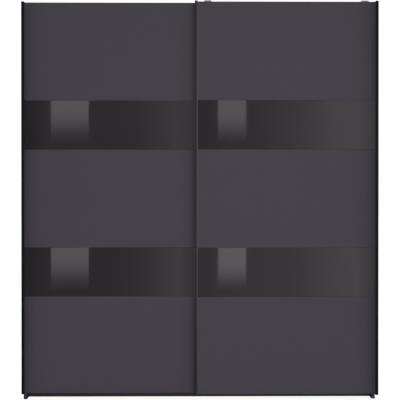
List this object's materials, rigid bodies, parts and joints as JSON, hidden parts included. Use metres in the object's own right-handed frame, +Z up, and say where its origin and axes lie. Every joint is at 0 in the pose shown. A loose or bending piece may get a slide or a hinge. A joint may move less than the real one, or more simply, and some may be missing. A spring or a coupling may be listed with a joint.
{
  "type": "sliding door wardrobe",
  "caption": "Tall graphite wardrobe whose doors hang from rollers in front of the carcass and slide past each other; each door has dark glass bands across it.",
  "frame": {"origin": "on the floor, at the middle of the wardrobe's width and depth", "axes": "+Z up, the doors face -Y, +X to the right as seen from the front"},
  "size_m": [1.784, 0.64, 2.005],
  "materials": {
    "door_board": "satin",
    "carcass_board": "satin",
    "black_glass": "polished",
    "dark_aluminium": "satin",
    "zinc_steel": "satin",
    "black_steel": "satin",
    "chrome_tube": "polished",
    "hardboard": "matte",
    "black_plastic": "matte",
    "white_nylon": "satin"
  },
  "bodies": {
    "root": {"side_panel_left": "carcass_board", "side_panel_right": "carcass_board", "top_panel": "carcass_board", "bottom_panel": "carcass_board", "centre_partition": "carcass_board", "plinth_front": "carcass_board", "plinth_rear": "carcass_board", "hat_shelf_left": "carcass_board", "hat_shelf_right": "carcass_board", "top_track": "dark_aluminium", "track_guard": "dark_aluminium", "bottom_guide_rail": "dark_aluminium", "wall_bracket_left": "zinc_steel", "wall_bracket_right": "zinc_steel", "rail_socket_left_1": "zinc_steel", "rail_socket_left_2": "zinc_steel", "rail_socket_right_1": "zinc_steel", "rail_socket_right_2": "zinc_steel", "hanging_rail_left": "chrome_tube", "hanging_rail_right": "chrome_tube", "back_panel_1": "hardboard", "back_panel_2": "hardboard", "back_panel_3": "hardboard", "back_panel_4": "hardboard", "floor_glide_front_left": "black_plastic", "floor_glide_front_right": "black_plastic", "floor_glide_rear_left": "black_plastic", "floor_glide_rear_right": "black_plastic", "back_joint_strip_left": "black_plastic", "back_joint_strip_right": "black_plastic", "track_stop_left": "black_plastic", "track_stop_right": "black_plastic"},
    "left_door": {"left_door_leaf": "door_board", "left_door_glass_lower": "black_glass", "left_door_glass_upper": "black_glass", "left_door_profile_left": "dark_aluminium", "left_door_profile_right": "dark_aluminium", "left_door_hanger_left": "zinc_steel", "left_door_hanger_right": "zinc_steel", "left_door_axle_left": "zinc_steel", "left_door_axle_right": "zinc_steel", "left_door_guide_left": "black_plastic", "left_door_guide_right": "black_plastic"},
    "right_door": {"right_door_leaf": "door_board", "right_door_glass_lower": "black_glass", "right_door_glass_upper": "black_glass", "right_door_profile_left": "dark_aluminium", "right_door_profile_right": "dark_aluminium", "right_door_hanger_left": "zinc_steel", "right_door_hanger_right": "zinc_steel", "right_door_axle_left": "zinc_steel", "right_door_axle_right": "zinc_steel", "right_door_guide_arm_left": "black_steel", "right_door_guide_arm_right": "black_steel", "right_door_guide_slider_left": "white_nylon", "right_door_guide_slider_right": "white_nylon"},
    "left_door_wheel_left": {"left_door_wheel_left": "white_nylon"},
    "left_door_wheel_right": {"left_door_wheel_right": "white_nylon"},
    "right_door_wheel_left": {"right_door_wheel_left": "white_nylon"},
    "right_door_wheel_right": {"right_door_wheel_right": "white_nylon"}
  },
  "joints": [
    {"name": "left_door_slide", "type": "slide", "parent": "root", "child": "left_door", "axis": [1, 0, 0], "range_m": [0, 0.868]},
    {"name": "right_door_slide", "type": "slide", "parent": "root", "child": "right_door", "axis": [1, 0, 0], "range_m": [-0.868, 0]},
    {"name": "left_door_wheel_left_spin", "type": "hinge", "parent": "left_door", "child": "left_door_wheel_left", "pos_m": [-0.827, -0.262, 1.9746], "axis": [0, 1, 0], "continuous": true},
    {"name": "left_door_wheel_right_spin", "type": "hinge", "parent": "left_door", "child": "left_door_wheel_right", "pos_m": [-0.041, -0.262, 1.9746], "axis": [0, 1, 0], "continuous": true},
    {"name": "right_door_wheel_left_spin", "type": "hinge", "parent": "right_door", "child": "right_door_wheel_left", "pos_m": [0.041, -0.24, 1.9746], "axis": [0, 1, 0], "continuous": true},
    {"name": "right_door_wheel_right_spin", "type": "hinge", "parent": "right_door", "child": "right_door_wheel_right", "pos_m": [0.827, -0.24, 1.9746], "axis": [0, 1, 0], "continuous": true}
  ],
  "couplings": [
    {"joint": "left_door_wheel_left_spin", "follows": "left_door_slide", "rad_per_m": 80},
    {"joint": "left_door_wheel_right_spin", "follows": "left_door_slide", "rad_per_m": 80},
    {"joint": "right_door_wheel_left_spin", "follows": "right_door_slide", "rad_per_m": 80},
    {"joint": "right_door_wheel_right_spin", "follows": "right_door_slide", "rad_per_m": 80}
  ]
}
